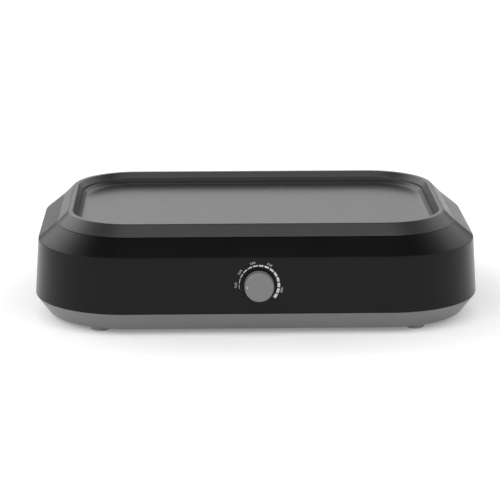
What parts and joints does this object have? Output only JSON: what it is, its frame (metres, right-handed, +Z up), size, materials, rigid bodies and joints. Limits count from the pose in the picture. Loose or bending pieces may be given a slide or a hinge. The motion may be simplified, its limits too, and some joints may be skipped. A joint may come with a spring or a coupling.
{
  "type": "electric griddle",
  "caption": "Electric griddle with a shallow rectangular non-stick plate that lifts off a two-part plastic casing with a thermostat knob on the front.",
  "frame": {"origin": "on the surface that the feet stand on, under the middle of the whole object's box", "axes": "+X to the right along the griddle's length, +Y to the rear, where the mains inlet is, +Z up; the knob faces -Y"},
  "size_m": [0.46, 0.3307, 0.1087],
  "materials": {
    "non_stick": "cast, black non-stick coating, satin",
    "black_plastic": "black polypropylene, satin walls",
    "grey_plastic": "mid-grey polypropylene, satin",
    "knob_plastic": "grey ABS, satin",
    "pointer": "pale inlay",
    "rubber": "grey silicone rubber",
    "sheet_steel": "aluminised sheet steel",
    "element_sheath": "dark heat-tinted steel sheath",
    "bright_steel": "zinc plated",
    "brass": "plain",
    "ceramic": "ceramic",
    "phenolic": "brown moulded phenolic",
    "inlet_plastic": "black nylon",
    "fuse_sleeve": "woven glass sleeve",
    "brown_lead": "silicone insulation",
    "blue_lead": "silicone insulation",
    "green_lead": "silicone insulation",
    "white_lead": "silicone insulation"
  },
  "bodies": {
    "casing": {"upper_housing": "black_plastic", "base_tray": "grey_plastic", "foot_front_left": "rubber", "foot_front_right": "rubber", "foot_rear_left": "rubber", "foot_rear_right": "rubber", "reflector_pan": "sheet_steel", "element_cradle_front_left": "sheet_steel", "element_cradle_front_right": "sheet_steel", "element_cradle_rear_left": "sheet_steel", "element_cradle_rear_right": "sheet_steel", "sensor_cradle": "sheet_steel", "fuse_clamp": "sheet_steel", "thermostat_bracket": "sheet_steel", "heating_element": "element_sheath", "element_seal_left": "ceramic", "element_seal_right": "ceramic", "pan_screw_front_left": "bright_steel", "pan_screw_front_right": "bright_steel", "pan_screw_rear_left": "bright_steel", "pan_screw_rear_right": "bright_steel", "casing_screw_front_left": "bright_steel", "casing_screw_front_right": "bright_steel", "casing_screw_rear_left": "bright_steel", "casing_screw_rear_right": "bright_steel", "casing_screw_side_left": "bright_steel", "casing_screw_side_right": "bright_steel", "sensor_bulb": "bright_steel", "thermostat_nut": "bright_steel", "inlet_pin_live": "bright_steel", "inlet_pin_neutral": "bright_steel", "inlet_pin_earth": "bright_steel", "inlet_screw_a": "bright_steel", "inlet_screw_b": "bright_steel", "capillary_tube": "brass", "thermostat_bushing": "brass", "thermostat_tab_supply": "brass", "thermostat_tab_switched": "brass", "thermostat_body": "phenolic", "power_inlet": "inlet_plastic", "thermal_fuse": "fuse_sleeve", "live_lead": "brown_lead", "supply_lead": "brown_lead", "neutral_lead": "blue_lead", "earth_lead": "green_lead", "switched_lead": "white_lead"},
    "plate": {"griddle_plate": "non_stick"},
    "knob": {"control_knob": "knob_plastic", "pointer_dot": "pointer", "knob_clip_ring": "bright_steel", "thermostat_shaft": "brass"}
  },
  "joints": [
    {"name": "plate_lift", "type": "slide", "parent": "casing", "child": "plate", "axis": [0, 0, 1], "range_m": [0, 0.12]},
    {"name": "knob_turn", "type": "hinge", "parent": "casing", "child": "knob", "pos_m": [0, -0.15156, 0.0533], "axis": [0, 0.9981, -0.0619], "range_deg": [0, 220]}
  ]
}
